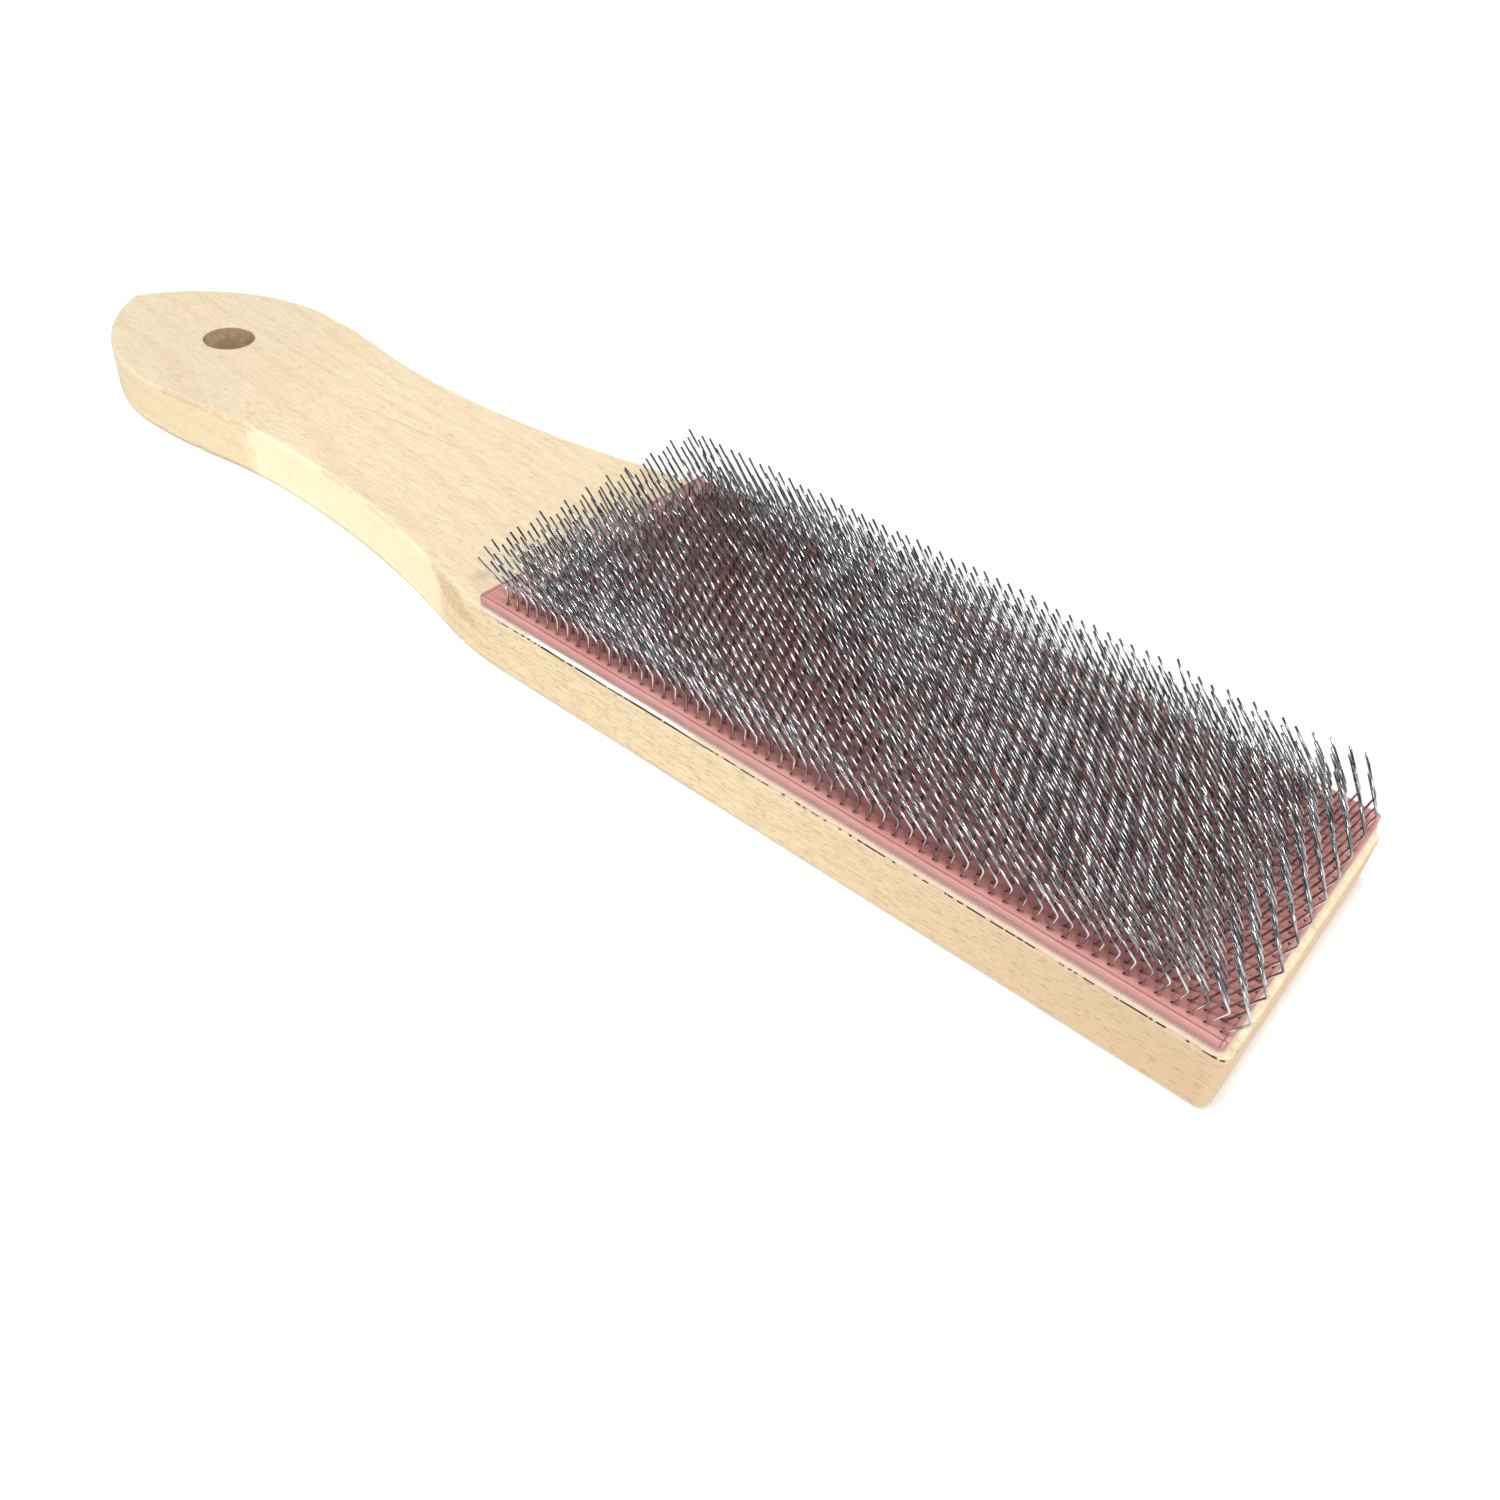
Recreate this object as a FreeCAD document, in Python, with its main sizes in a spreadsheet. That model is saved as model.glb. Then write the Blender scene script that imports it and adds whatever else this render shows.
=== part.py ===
"""A wooden hand card: one flat beech paddle with a sheet of wire card clothing glued to its block.

Frame: origin at the middle of the underside, +X towards the block's free end, +Z towards the teeth.
All sizes are in millimetres.
"""
import FreeCAD, Part
import math
import os

import Sketcher

ORIGIN = -1          # the sketch's own origin, for distances measured from it
START, END, CENTRE = 1, 2, 3

SIZES = [
    # the paddle
    ("paddle_length", 236.0),
    ("board_width", 50.0),
    ("board_thickness", 9.0),
    ("block_length", 112.0),        # from the free end to where the sides turn in
    ("far_corner", 2.8),            # of the free end, on the +Y side
    ("near_corner", 1.4),           # of the free end, on the -Y side, which is sawn sharper
    ("neck_from_tip", 64.0),
    ("neck_width", 33.4),
    ("shoulder_share", 0.23),       # how much of the curve from block to neck is the convex shoulder
    ("bulge_from_tip", 30.0),
    ("bulge_width", 39.6),
    ("bulge_share", 0.5),           # how much of the curve from neck to bulge is the convex bulge
    ("tip_offset", 2.0),            # the point of the handle lies a little off the centre line
    ("tip_round", 1.6),
    ("edge_round", 0.8),
    ("hole_from_tip", 26.6),
    ("hole_diameter", 9.0),
    # the card clothing
    ("card_length", 115.4),
    ("card_end_inset", 1.2),
    ("card_side_inset", 0.35),
    ("card_corner", 0.8),
    ("glue_thickness", 0.4),
    ("ply_thickness", 0.25),
    ("rubber_thickness", 0.85),
    ("rubber_edge", 0.3),
    # the wire staples
    ("wire_diameter", 0.32),
    ("crown_lift", 0.03),           # glue left between a crown and the wood
    ("tooth_pitch", 1.96),          # along the board
    ("row_pitch", 1.6),             # across the board
    ("handle_border", 4.6),
    ("end_border", 0.95),
    ("side_border", 1.2),
    ("knee_height", 2.6),           # above the rubber
    ("knee_forward", 0.4),
    ("tip_rise", 4.3),              # above the knee
    ("tip_back", 4.5),
    ("knee_bend", 0.5),
    ("crown_bend", 0.45),
]
PLIES = ("cotton_ply_lower", "cotton_ply_middle", "cotton_ply_upper")
ROWS_IN_SET = 3      # rows of teeth before the pattern repeats, and the rows that a staple spans

doc = FreeCAD.newDocument("hand_card")


def make_sheet():
    sheet = doc.addObject("Spreadsheet::Sheet", "sizes")
    for line, (alias, value) in enumerate(SIZES, start=1):
        sheet.set(f"A{line}", alias)
        sheet.set(f"B{line}", str(value))
        sheet.setAlias(f"B{line}", alias)
    doc.recompute()
    return sheet


sheet = make_sheet()


def size(alias):
    return float(getattr(sheet, alias))


def origin_plane(body, role):
    return next(f for f in body.Origin.OriginFeatures if f.Role == role)


def new_body(label):
    body = doc.addObject("PartDesign::Body", label)
    body.Label = label
    return body


def new_sketch(body, name):
    sketch = body.newObject("Sketcher::SketchObject", name)
    sketch.AttachmentSupport = [(origin_plane(body, "XY_Plane"), "")]
    sketch.MapMode = "FlatFace"
    return sketch


def bind(sketch, name, constraint, expression):
    """Add a measured constraint and tie it to the sheet."""
    number = sketch.addConstraint(constraint)
    sketch.renameConstraint(number, name)
    sketch.setExpression(f"Constraints.{name}", expression)


# ---- the paddle's outline: straight block sides, then tangent arcs to the point of the handle ----

def arc_about(x, y, radius, first_deg, last_deg, side):
    """An arc about x, y of the +Y side, or its mirror image on the -Y side."""
    first, last = math.radians(first_deg), math.radians(last_deg)
    if side < 0:
        first, last = -last, -first
    circle = Part.Circle(FreeCAD.Vector(x, side * y, 0), FreeCAD.Vector(0, 0, 1), radius)
    return Part.ArcOfCircle(circle, first, last)


def double_curve(run, rise):
    """The turn, in degrees, and the radii's sum for two arcs that step from one level to another."""
    turn = 2 * math.atan2(rise, run)
    return math.degrees(turn), run / math.sin(turn)


def trace_side(sketch, side):
    """One long side. Returns its corner arc, its nose arc, and which ends of an arc come first and last."""
    half_length, half_width = size("paddle_length") / 2, size("board_width") / 2
    corner_size = "far_corner" if side > 0 else "near_corner"
    corner = size(corner_size)
    shoulder_x = half_length - size("block_length")
    neck_x, neck_y = size("neck_from_tip") - half_length, size("neck_width") / 2
    bulge_x, bulge_y = size("bulge_from_tip") - half_length, size("bulge_width") / 2
    tip_y = -side * size("tip_offset")          # the point lies on the -Y side of the centre line

    turn_in, radii_in = double_curve(shoulder_x - neck_x, half_width - neck_y)
    turn_out, radii_out = double_curve(neck_x - bulge_x, bulge_y - neck_y)
    shoulder_r = radii_in * size("shoulder_share")
    bulge_r = radii_out * size("bulge_share")
    nose_drop = bulge_y - tip_y
    nose_r = (size("bulge_from_tip") ** 2 + nose_drop ** 2) / (2 * nose_drop)
    nose_turn = math.degrees(math.asin(size("bulge_from_tip") / nose_r))
    if nose_drop > nose_r:
        nose_turn = 180 - nose_turn

    def add(geometry):
        return sketch.addGeometry(geometry, False)

    first, last = (START, END) if side > 0 else (END, START)      # a mirror image swaps an arc's ends
    corner_arc = add(arc_about(half_length - corner, half_width - corner, corner, 0, 90, side))
    edge = add(Part.LineSegment(
        FreeCAD.Vector(half_length - corner, side * half_width, 0),
        FreeCAD.Vector(shoulder_x, side * half_width, 0)))
    shoulder = add(arc_about(shoulder_x, half_width - shoulder_r, shoulder_r, 90, 90 + turn_in, side))
    neck_r = radii_in - shoulder_r
    neck_front = add(arc_about(neck_x, neck_y + neck_r, neck_r, 270, 270 + turn_in, side))
    neck_r = radii_out - bulge_r
    neck_back = add(arc_about(neck_x, neck_y + neck_r, neck_r, 270 - turn_out, 270, side))
    bulge = add(arc_about(bulge_x, bulge_y - bulge_r, bulge_r, 90 - turn_out, 90, side))
    nose = add(arc_about(bulge_x, bulge_y - nose_r, nose_r, 90, 90 + nose_turn, side))

    for one, one_end, other, other_end in (
            (corner_arc, last, edge, START),
            (edge, END, shoulder, first),
            (shoulder, last, neck_front, last),
            (neck_front, first, neck_back, last),
            (neck_back, first, bulge, first),
            (bulge, last, nose, first)):
        sketch.addConstraint(Sketcher.Constraint("Tangent", one, one_end, other, other_end))
    sketch.addConstraint(Sketcher.Constraint("Horizontal", edge))
    sketch.addConstraint(Sketcher.Constraint("Vertical", neck_front, first, neck_front, CENTRE))
    sketch.addConstraint(Sketcher.Constraint("Vertical", bulge, last, bulge, CENTRE))

    s = "left" if side > 0 else "right"
    sign = "" if side > 0 else "-"
    half = "sizes.paddle_length / 2"
    run_in = f"({half} - sizes.block_length - sizes.neck_from_tip + {half})"
    run_out = "(sizes.neck_from_tip - sizes.bulge_from_tip)"
    junction_in = shoulder_x - size("shoulder_share") * (shoulder_x - neck_x)
    junction_out = bulge_x + size("bulge_share") * (neck_x - bulge_x)
    for name, kind, part, vertex, value, expression in (
            ("side_y", "DistanceY", edge, START, side * half_width, f"{sign}sizes.board_width / 2"),
            ("shoulder_x", "DistanceX", edge, END, shoulder_x, f"{half} - sizes.block_length"),
            ("turn_x", "DistanceX", shoulder, last, junction_in,
             f"{half} - sizes.block_length - sizes.shoulder_share * {run_in}"),
            ("neck_x", "DistanceX", neck_front, first, neck_x, f"sizes.neck_from_tip - {half}"),
            ("neck_y", "DistanceY", neck_front, first, side * neck_y, f"{sign}sizes.neck_width / 2"),
            ("swell_x", "DistanceX", bulge, first, junction_out,
             f"sizes.bulge_from_tip - {half} + sizes.bulge_share * {run_out}"),
            ("bulge_x", "DistanceX", bulge, last, bulge_x, f"sizes.bulge_from_tip - {half}"),
            ("bulge_y", "DistanceY", bulge, last, side * bulge_y, f"{sign}sizes.bulge_width / 2")):
        bind(sketch, f"{s}_{name}", Sketcher.Constraint(kind, ORIGIN, 1, part, vertex, value), expression)
    bind(sketch, f"{s}_corner", Sketcher.Constraint("Radius", corner_arc, corner), f"sizes.{corner_size}")
    return corner_arc, nose, first, last


def trace_paddle(sketch):
    half_length, half_width = size("paddle_length") / 2, size("board_width") / 2
    left_corner, left_nose, left_first, left_last = trace_side(sketch, 1)
    right_corner, right_nose, right_first, right_last = trace_side(sketch, -1)
    end = sketch.addGeometry(Part.LineSegment(
        FreeCAD.Vector(half_length, size("near_corner") - half_width, 0),
        FreeCAD.Vector(half_length, half_width - size("far_corner"), 0)), False)
    for one, one_end, other, other_end in (
            (end, END, left_corner, left_first), (end, START, right_corner, right_first)):
        sketch.addConstraint(Sketcher.Constraint("Tangent", one, one_end, other, other_end))
    sketch.addConstraint(Sketcher.Constraint("Coincident", left_nose, left_last, right_nose, right_last))
    bind(sketch, "end_x", Sketcher.Constraint("DistanceX", ORIGIN, 1, end, END, half_length),
         "sizes.paddle_length / 2")
    bind(sketch, "tip_x", Sketcher.Constraint("DistanceX", ORIGIN, 1, left_nose, left_last, -half_length),
         "-sizes.paddle_length / 2")
    bind(sketch, "tip_y",
         Sketcher.Constraint("DistanceY", ORIGIN, 1, left_nose, left_last, -size("tip_offset")),
         "-sizes.tip_offset")


def edges_where(shape, test):
    return [f"Edge{n}" for n, edge in enumerate(shape.Edges, start=1) if test(edge)]


def make_paddle():
    """The block and the handle, sawn from one flat board, with eased edges and a hanging hole."""
    body = new_body("wooden_paddle")
    outline = new_sketch(body, "paddle_outline")
    trace_paddle(outline)
    board = body.newObject("PartDesign::Pad", "board")
    board.Profile = outline
    board.setExpression("Length", "sizes.board_thickness")
    doc.recompute()

    tip_x = -size("paddle_length") / 2
    point = body.newObject("PartDesign::Fillet", "rounded_point")
    point.Base = (board, edges_where(board.Shape, lambda e: (
        e.BoundBox.ZLength > 1 and abs(e.BoundBox.XMin - tip_x) < 0.01)))
    point.setExpression("Radius", "sizes.tip_round")
    doc.recompute()

    eased = body.newObject("PartDesign::Fillet", "eased_edges")
    eased.Base = (point, edges_where(point.Shape, lambda e: e.BoundBox.ZLength < 0.01))
    eased.setExpression("Radius", "sizes.edge_round")
    doc.recompute()
    before = eased.Shape.Volume

    ring = new_sketch(body, "hole_outline")
    hole_x = size("hole_from_tip") - size("paddle_length") / 2
    circle = ring.addGeometry(Part.Circle(
        FreeCAD.Vector(hole_x, 0, 0), FreeCAD.Vector(0, 0, 1), size("hole_diameter") / 2), False)
    ring.addConstraint(Sketcher.Constraint("PointOnObject", circle, CENTRE, ORIGIN))
    bind(ring, "hole_x", Sketcher.Constraint("DistanceX", ORIGIN, 1, circle, CENTRE, hole_x),
         "sizes.hole_from_tip - sizes.paddle_length / 2")
    bind(ring, "hole_r", Sketcher.Constraint("Radius", circle, size("hole_diameter") / 2),
         "sizes.hole_diameter / 2")
    hole = body.newObject("PartDesign::Pocket", "hanging_hole")
    hole.Profile = ring
    hole.Type = "ThroughAll"
    hole.Reversed = True
    doc.recompute()
    drilled = before - hole.Shape.Volume
    wanted = math.pi * (size("hole_diameter") / 2) ** 2 * size("board_thickness")
    assert abs(drilled - wanted) < 0.01 * wanted, "the hanging hole didn't cut through"
    return body


# ---- the card clothing: adhesive, cotton plies and rubber, all cut to one rounded rectangle ----

def trace_card(sketch):
    """A rounded rectangle that ends a little short of the block's free end and of its sides."""
    high_x = size("paddle_length") / 2 - size("card_end_inset")
    low_x = high_x - size("card_length")
    high_y = size("board_width") / 2 - size("card_side_inset")
    corner = size("card_corner")
    centres = [(high_x - corner, high_y - corner), (low_x + corner, high_y - corner),
               (low_x + corner, corner - high_y), (high_x - corner, corner - high_y)]
    arcs, lines = [], []
    for quarter, (x, y) in enumerate(centres):
        circle = Part.Circle(FreeCAD.Vector(x, y, 0), FreeCAD.Vector(0, 0, 1), corner)
        first = quarter * math.pi / 2
        arcs.append(sketch.addGeometry(Part.ArcOfCircle(circle, first, first + math.pi / 2), False))
    ends = [(high_x - corner, high_y), (low_x, high_y - corner),
            (low_x + corner, -high_y), (high_x, corner - high_y)]
    starts = [(low_x + corner, high_y), (low_x, corner - high_y),
              (high_x - corner, -high_y), (high_x, high_y - corner)]
    for (x, y), (to_x, to_y) in zip(ends, starts):
        lines.append(sketch.addGeometry(Part.LineSegment(
            FreeCAD.Vector(x, y, 0), FreeCAD.Vector(to_x, to_y, 0)), False))
    for quarter in range(4):
        following = (quarter + 1) % 4
        sketch.addConstraint(Sketcher.Constraint("Tangent", arcs[quarter], END, lines[quarter], START))
        sketch.addConstraint(Sketcher.Constraint("Tangent", lines[quarter], END, arcs[following], START))
        sketch.addConstraint(Sketcher.Constraint(("Horizontal", "Vertical")[quarter % 2], lines[quarter]))
    for other in arcs[1:]:
        sketch.addConstraint(Sketcher.Constraint("Equal", arcs[0], other))
    end = "sizes.paddle_length / 2 - sizes.card_end_inset"
    side = "sizes.board_width / 2 - sizes.card_side_inset"
    for name, kind, line, value, expression in (
            ("far_end", "DistanceX", 3, high_x, end),
            ("handle_end", "DistanceX", 1, low_x, f"{end} - sizes.card_length"),
            ("left_side", "DistanceY", 0, high_y, side),
            ("right_side", "DistanceY", 2, -high_y, f"-({side})")):
        bind(sketch, name, Sketcher.Constraint(kind, ORIGIN, 1, lines[line], START, value), expression)
    bind(sketch, "corner", Sketcher.Constraint("Radius", arcs[0], corner), "sizes.card_corner")


def make_layer(label, thickness, underside):
    """One layer of the card clothing. underside is its height, as an expression on the sheet."""
    body = new_body(label)
    outline = new_sketch(body, label + "_outline")
    trace_card(outline)
    layer = body.newObject("PartDesign::Pad", label + "_pad")
    layer.Profile = outline
    layer.setExpression("Length", thickness)
    body.setExpression("Placement.Base.z", underside)
    doc.recompute()
    return body


def make_foundation():
    """The adhesive, the cotton plies cemented to each other, and the rubber face with eased edges."""
    top = "sizes.board_thickness"
    layers = [make_layer("glue_bed", "sizes.glue_thickness", top)]
    top += " + sizes.glue_thickness"
    for label in PLIES:
        layers.append(make_layer(label, "sizes.ply_thickness", top))
        top += " + sizes.ply_thickness"
    rubber = make_layer("rubber_face", "sizes.rubber_thickness", top)
    pad = rubber.Tip
    high = size("rubber_thickness")
    eased = rubber.newObject("PartDesign::Fillet", "rubber_edges")
    eased.Base = (pad, edges_where(pad.Shape, lambda e: e.BoundBox.ZMin > high - 0.01))
    eased.setExpression("Radius", "sizes.rubber_edge")
    doc.recompute()
    return layers + [rubber]


# ---- the wire staples: a crown under the plies, two legs through them, and a knee in each leg ----

def rounded_path(corners, radii):
    """Straight runs through the corners, each inner corner replaced by a tangent arc."""
    edges = []
    place = corners[0]
    for before, corner, after, radius in zip(corners, corners[1:], corners[2:], radii):
        back, on = (before - corner).normalize(), (after - corner).normalize()
        half_angle = back.getAngle(on) / 2
        reach = radius / math.tan(half_angle)
        middle = corner + (back + on).normalize() * (radius / math.sin(half_angle) - radius)
        edges.append(Part.LineSegment(place, corner + back * reach).toShape())
        edges.append(Part.Arc(corner + back * reach, middle, corner + on * reach).toShape())
        place = corner + on * reach
    edges.append(Part.LineSegment(place, corners[-1]).toShape())
    return Part.Wire(edges)


def rubber_top():
    return (size("board_thickness") + size("glue_thickness") + len(PLIES) * size("ply_thickness")
            + size("rubber_thickness"))


def make_staple():
    """One staple, with its teeth piercing the rubber at x = 0 and its crown on the Y axis."""
    wire_r = size("wire_diameter") / 2
    crown_z = size("board_thickness") + size("crown_lift") + wire_r
    face_z = rubber_top()
    knee_z = face_z + size("knee_height")
    slope = size("knee_forward") / (knee_z - crown_z)
    crown_x = (crown_z - face_z) * slope
    knee_x = (knee_z - face_z) * slope
    half = ROWS_IN_SET * size("row_pitch") / 2
    leg = [(knee_x - size("tip_back"), knee_z + size("tip_rise")), (knee_x, knee_z), (crown_x, crown_z)]
    corners = [FreeCAD.Vector(x, -half, z) for x, z in leg]
    corners += [FreeCAD.Vector(x, half, z) for x, z in reversed(leg)]
    knee, crown = size("knee_bend"), size("crown_bend")
    path = rounded_path(corners, (knee, crown, crown, knee))
    end = Part.Circle(corners[0], corners[1] - corners[0], wire_r).toShape()
    return path.makePipeShell([Part.Wire([end])], True, False)


def make_staples():
    """The staples in lines along the board, each line a node of its own."""
    staple = make_staple()
    assert staple.isValid() and staple.Volume > 0, "the staple isn't a closed solid"
    pitch, row = size("tooth_pitch"), size("row_pitch")
    last_x = size("paddle_length") / 2 - size("card_end_inset") - size("end_border")
    field = size("card_length") - size("handle_border") - size("end_border")
    columns = int(field / pitch) + 1
    across = size("board_width") - 2 * size("card_side_inset") - 2 * size("side_border")
    sets = int((across + row) / (2 * ROWS_IN_SET * row))
    first_y = -(2 * ROWS_IN_SET * sets - 1) * row / 2
    lines = []
    for line in range(ROWS_IN_SET * sets):
        group, step = divmod(line, ROWS_IN_SET)
        middle_y = first_y + (2 * ROWS_IN_SET * group + step + ROWS_IN_SET / 2) * row
        shift = -step * pitch / ROWS_IN_SET
        copies = [staple.translated(FreeCAD.Vector(last_x + shift - column * pitch, middle_y, 0))
                  for column in range(columns)]
        label = f"staple_row_{line + 1:02d}"
        feature = doc.addObject("Part::Feature", label)
        feature.Label = label
        feature.Shape = Part.makeCompound(copies)
        feature.Placement = FreeCAD.Placement()
        lines.append(feature)
    print(f"{len(lines)} rows of {columns} staples, {2 * columns * len(lines)} teeth")
    return lines


pieces = [make_paddle()] + make_foundation() + make_staples()
doc.recompute()

for item in doc.Objects:
    if "Invalid" in item.State or "Error" in item.State:
        raise RuntimeError(f"{item.Label} did not compute: {item.State}")
for piece in pieces:
    if piece.Shape.isNull() or not piece.Shape.isValid():
        raise RuntimeError(f"{piece.Label} has no valid shape")

os.makedirs("parts", exist_ok=True)
for piece in pieces:
    piece.Shape.exportStep(f"parts/{piece.Label}.step")
    print(piece.Label, len(piece.Shape.Solids), round(piece.Shape.Volume, 2))
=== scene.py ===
"""A hand card: a beech paddle with a sheet of card clothing glued to its block.

The card clothing is three plies of cotton, a rubber face and 15 lines of bent wire staples.
Sizes here are in millimetres and meshes in metres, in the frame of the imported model: X along the
paddle with the point of the handle at -X, Y across it and Z up. The near side is -Y.
"""

import math
import random

import bpy
from mathutils import Matrix, Vector


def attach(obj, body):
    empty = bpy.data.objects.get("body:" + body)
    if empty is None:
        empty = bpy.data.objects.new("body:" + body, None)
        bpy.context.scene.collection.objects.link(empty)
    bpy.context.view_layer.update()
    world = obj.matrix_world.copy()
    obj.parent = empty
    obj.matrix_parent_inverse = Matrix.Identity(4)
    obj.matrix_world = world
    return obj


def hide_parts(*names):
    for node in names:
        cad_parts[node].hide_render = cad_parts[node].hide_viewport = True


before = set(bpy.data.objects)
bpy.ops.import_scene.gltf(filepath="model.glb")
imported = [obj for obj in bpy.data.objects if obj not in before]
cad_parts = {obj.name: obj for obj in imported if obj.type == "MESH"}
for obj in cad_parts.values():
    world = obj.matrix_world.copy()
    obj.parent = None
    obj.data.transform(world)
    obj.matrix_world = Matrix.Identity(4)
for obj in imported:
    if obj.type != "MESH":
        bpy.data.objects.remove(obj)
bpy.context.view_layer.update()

# --- The wooden paddle ---
# One board of steamed beech, sawn to shape, its edges eased by sanding, with a hole drilled to hang it.
# It is left bare: the top is pale and a little grey with handling, and the sawn sides are yellower.

MM = 0.001

HOLE_X = -91.4
HOLE_RADIUS = 4.5

# where the marks on the wood fade in and out, or have their middles
NEAR_FADE = (-17, -12)
PITH_Y, PITH_Z = -18, -34
RING_SPACING = 3.6
HANDLED_FADE = (-74, -46)
BLOCK_SIDE_FADE = (-20, 10)
SANDED_MIDDLE, SANDED_HALF = -33, 25
TAN_RIM_MIDDLE, ORANGE_RIM_MIDDLE = -72.5, -33.5
TORN_PATCH_X = 7
STAIN_X, STAIN_Y = -4.3, -19.1
RING_LINE_X, RING_LINE_Y, RING_LINE_SLOPE = -55.6, 1.0, 0.132
ARC_X, ARC_Y, ARC_RADIUS = -57, -9.5, 3.6
NICK_AND_GAP_SHADOW_LEVEL = 8.7
OPEN_GAP_MIDDLE, OPEN_GAP_HALF = 30, 13

BEECH_PALE = (0.90, 0.755, 0.535, 1)
BEECH_WARM = (0.85, 0.665, 0.43, 1)
BEECH_GREY = (0.79, 0.69, 0.50, 1)
BEECH_SIDE = (0.80, 0.655, 0.41, 1)
BEECH_LATE_AND_SHADE = (0.63, 0.45, 0.285, 1)
BEECH_FLECK = (0.43, 0.30, 0.20, 1)
BEECH_CREAM = (0.95, 0.87, 0.62, 1)
BEECH_TAN = (0.60, 0.40, 0.22, 1)
BEECH_ORANGE = (0.80, 0.46, 0.20, 1)
BEECH_STAIN = (0.56, 0.47, 0.34, 1)
BORED_WOOD = (0.40, 0.28, 0.16, 1)
NICK_AND_GAP_SHADOW = (0.035, 0.022, 0.014, 1)


class Channel:
    """One output of a node in a material. Sums and products of channels add Math nodes."""

    def __init__(self, tree, socket=None):
        self.tree = tree
        self.socket = socket

    def node(self, kind, settings, inputs, output=0):
        """Adds a node, sets it up, fills its inputs, and returns one of its outputs."""
        made = self.tree.nodes.new("ShaderNode" + kind)
        for name, value in settings.items():
            setattr(made, name, value)
        for name, value in inputs.items():
            if isinstance(value, Channel):
                self.tree.links.new(value.socket, made.inputs[name])
            else:
                made.inputs[name].default_value = value
        return Channel(self.tree, made.outputs[output])

    def math(self, operation, first, second=0.0):
        return self.node("Math", {"operation": operation}, {0: first, 1: second})

    def __add__(self, other):
        return self.math("ADD", self, other)

    def __sub__(self, other):
        return self.math("SUBTRACT", self, other)

    def __rsub__(self, other):
        return self.math("SUBTRACT", other, self)

    def __mul__(self, other):
        return self.math("MULTIPLY", self, other)

    def __truediv__(self, other):
        return self.math("DIVIDE", self, other)

    def __pow__(self, other):
        return self.math("POWER", self, other)

    def __abs__(self):
        return self.math("ABSOLUTE", self)

    __radd__ = __add__
    __rmul__ = __mul__

    def rise(self, low, high):
        """0 below low and 1 above high, with a smooth step between."""
        settings = {"interpolation_type": "SMOOTHSTEP"}
        return self.node("MapRange", settings, {"Value": self, "From Min": low, "From Max": high})

    def band(self, middle, half_width, fade):
        """1 within half_width of the middle, fading to 0 beyond it."""
        return 1 - abs(self - middle).rise(half_width, half_width + fade)


def new_material(name):
    """An empty material, and a channel that its nodes start from."""
    material = bpy.data.materials.new(name)
    material.use_nodes = True
    return material, Channel(material.node_tree)


def place_in_mm(start):
    """The place on the object in millimetres, as a vector."""
    metres = start.node("TexCoord", {}, {}, "Object")
    return start.node("VectorMath", {"operation": "SCALE"}, {0: metres, "Scale": 1 / MM})


def part_of(vector, axis):
    return vector.node("SeparateXYZ", {}, {0: vector}, axis)


def distance(one_side, other_side):
    """The length of the slope whose two sides, square to each other, are these."""
    return (one_side * one_side + other_side * other_side) ** 0.5


def stretched(place, factors):
    return place.node("VectorMath", {"operation": "MULTIPLY"}, {0: place, 1: factors})


def noise(place, scale, detail=2.0):
    return place.node("TexNoise", {}, {"Vector": place, "Scale": scale, "Detail": detail}, "Fac")


def mixed(share, first, second):
    """The first colour where the share is 0, and the second where it is 1."""
    return share.node("Mix", {"data_type": "RGBA"}, {0: share, 6: first, 7: second}, 2)


def finish(start, colour, roughness, height, depth, **constants):
    """Feeds a material's surface. The height, from 0 to 1, stands depth millimetres high."""
    surface = start.tree.nodes["Principled BSDF"]
    bump = start.node("Bump", {}, {"Height": height, "Distance": depth * MM}, "Normal")
    start.tree.links.new(colour.socket, surface.inputs["Base Color"])
    start.tree.links.new(roughness.socket, surface.inputs["Roughness"])
    start.tree.links.new(bump.socket, surface.inputs["Normal"])
    for name, value in constants.items():
        surface.inputs[name.replace("_", " ")].default_value = value


def paint(piece, material):
    piece.data.materials.clear()
    piece.data.materials.append(material)


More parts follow.
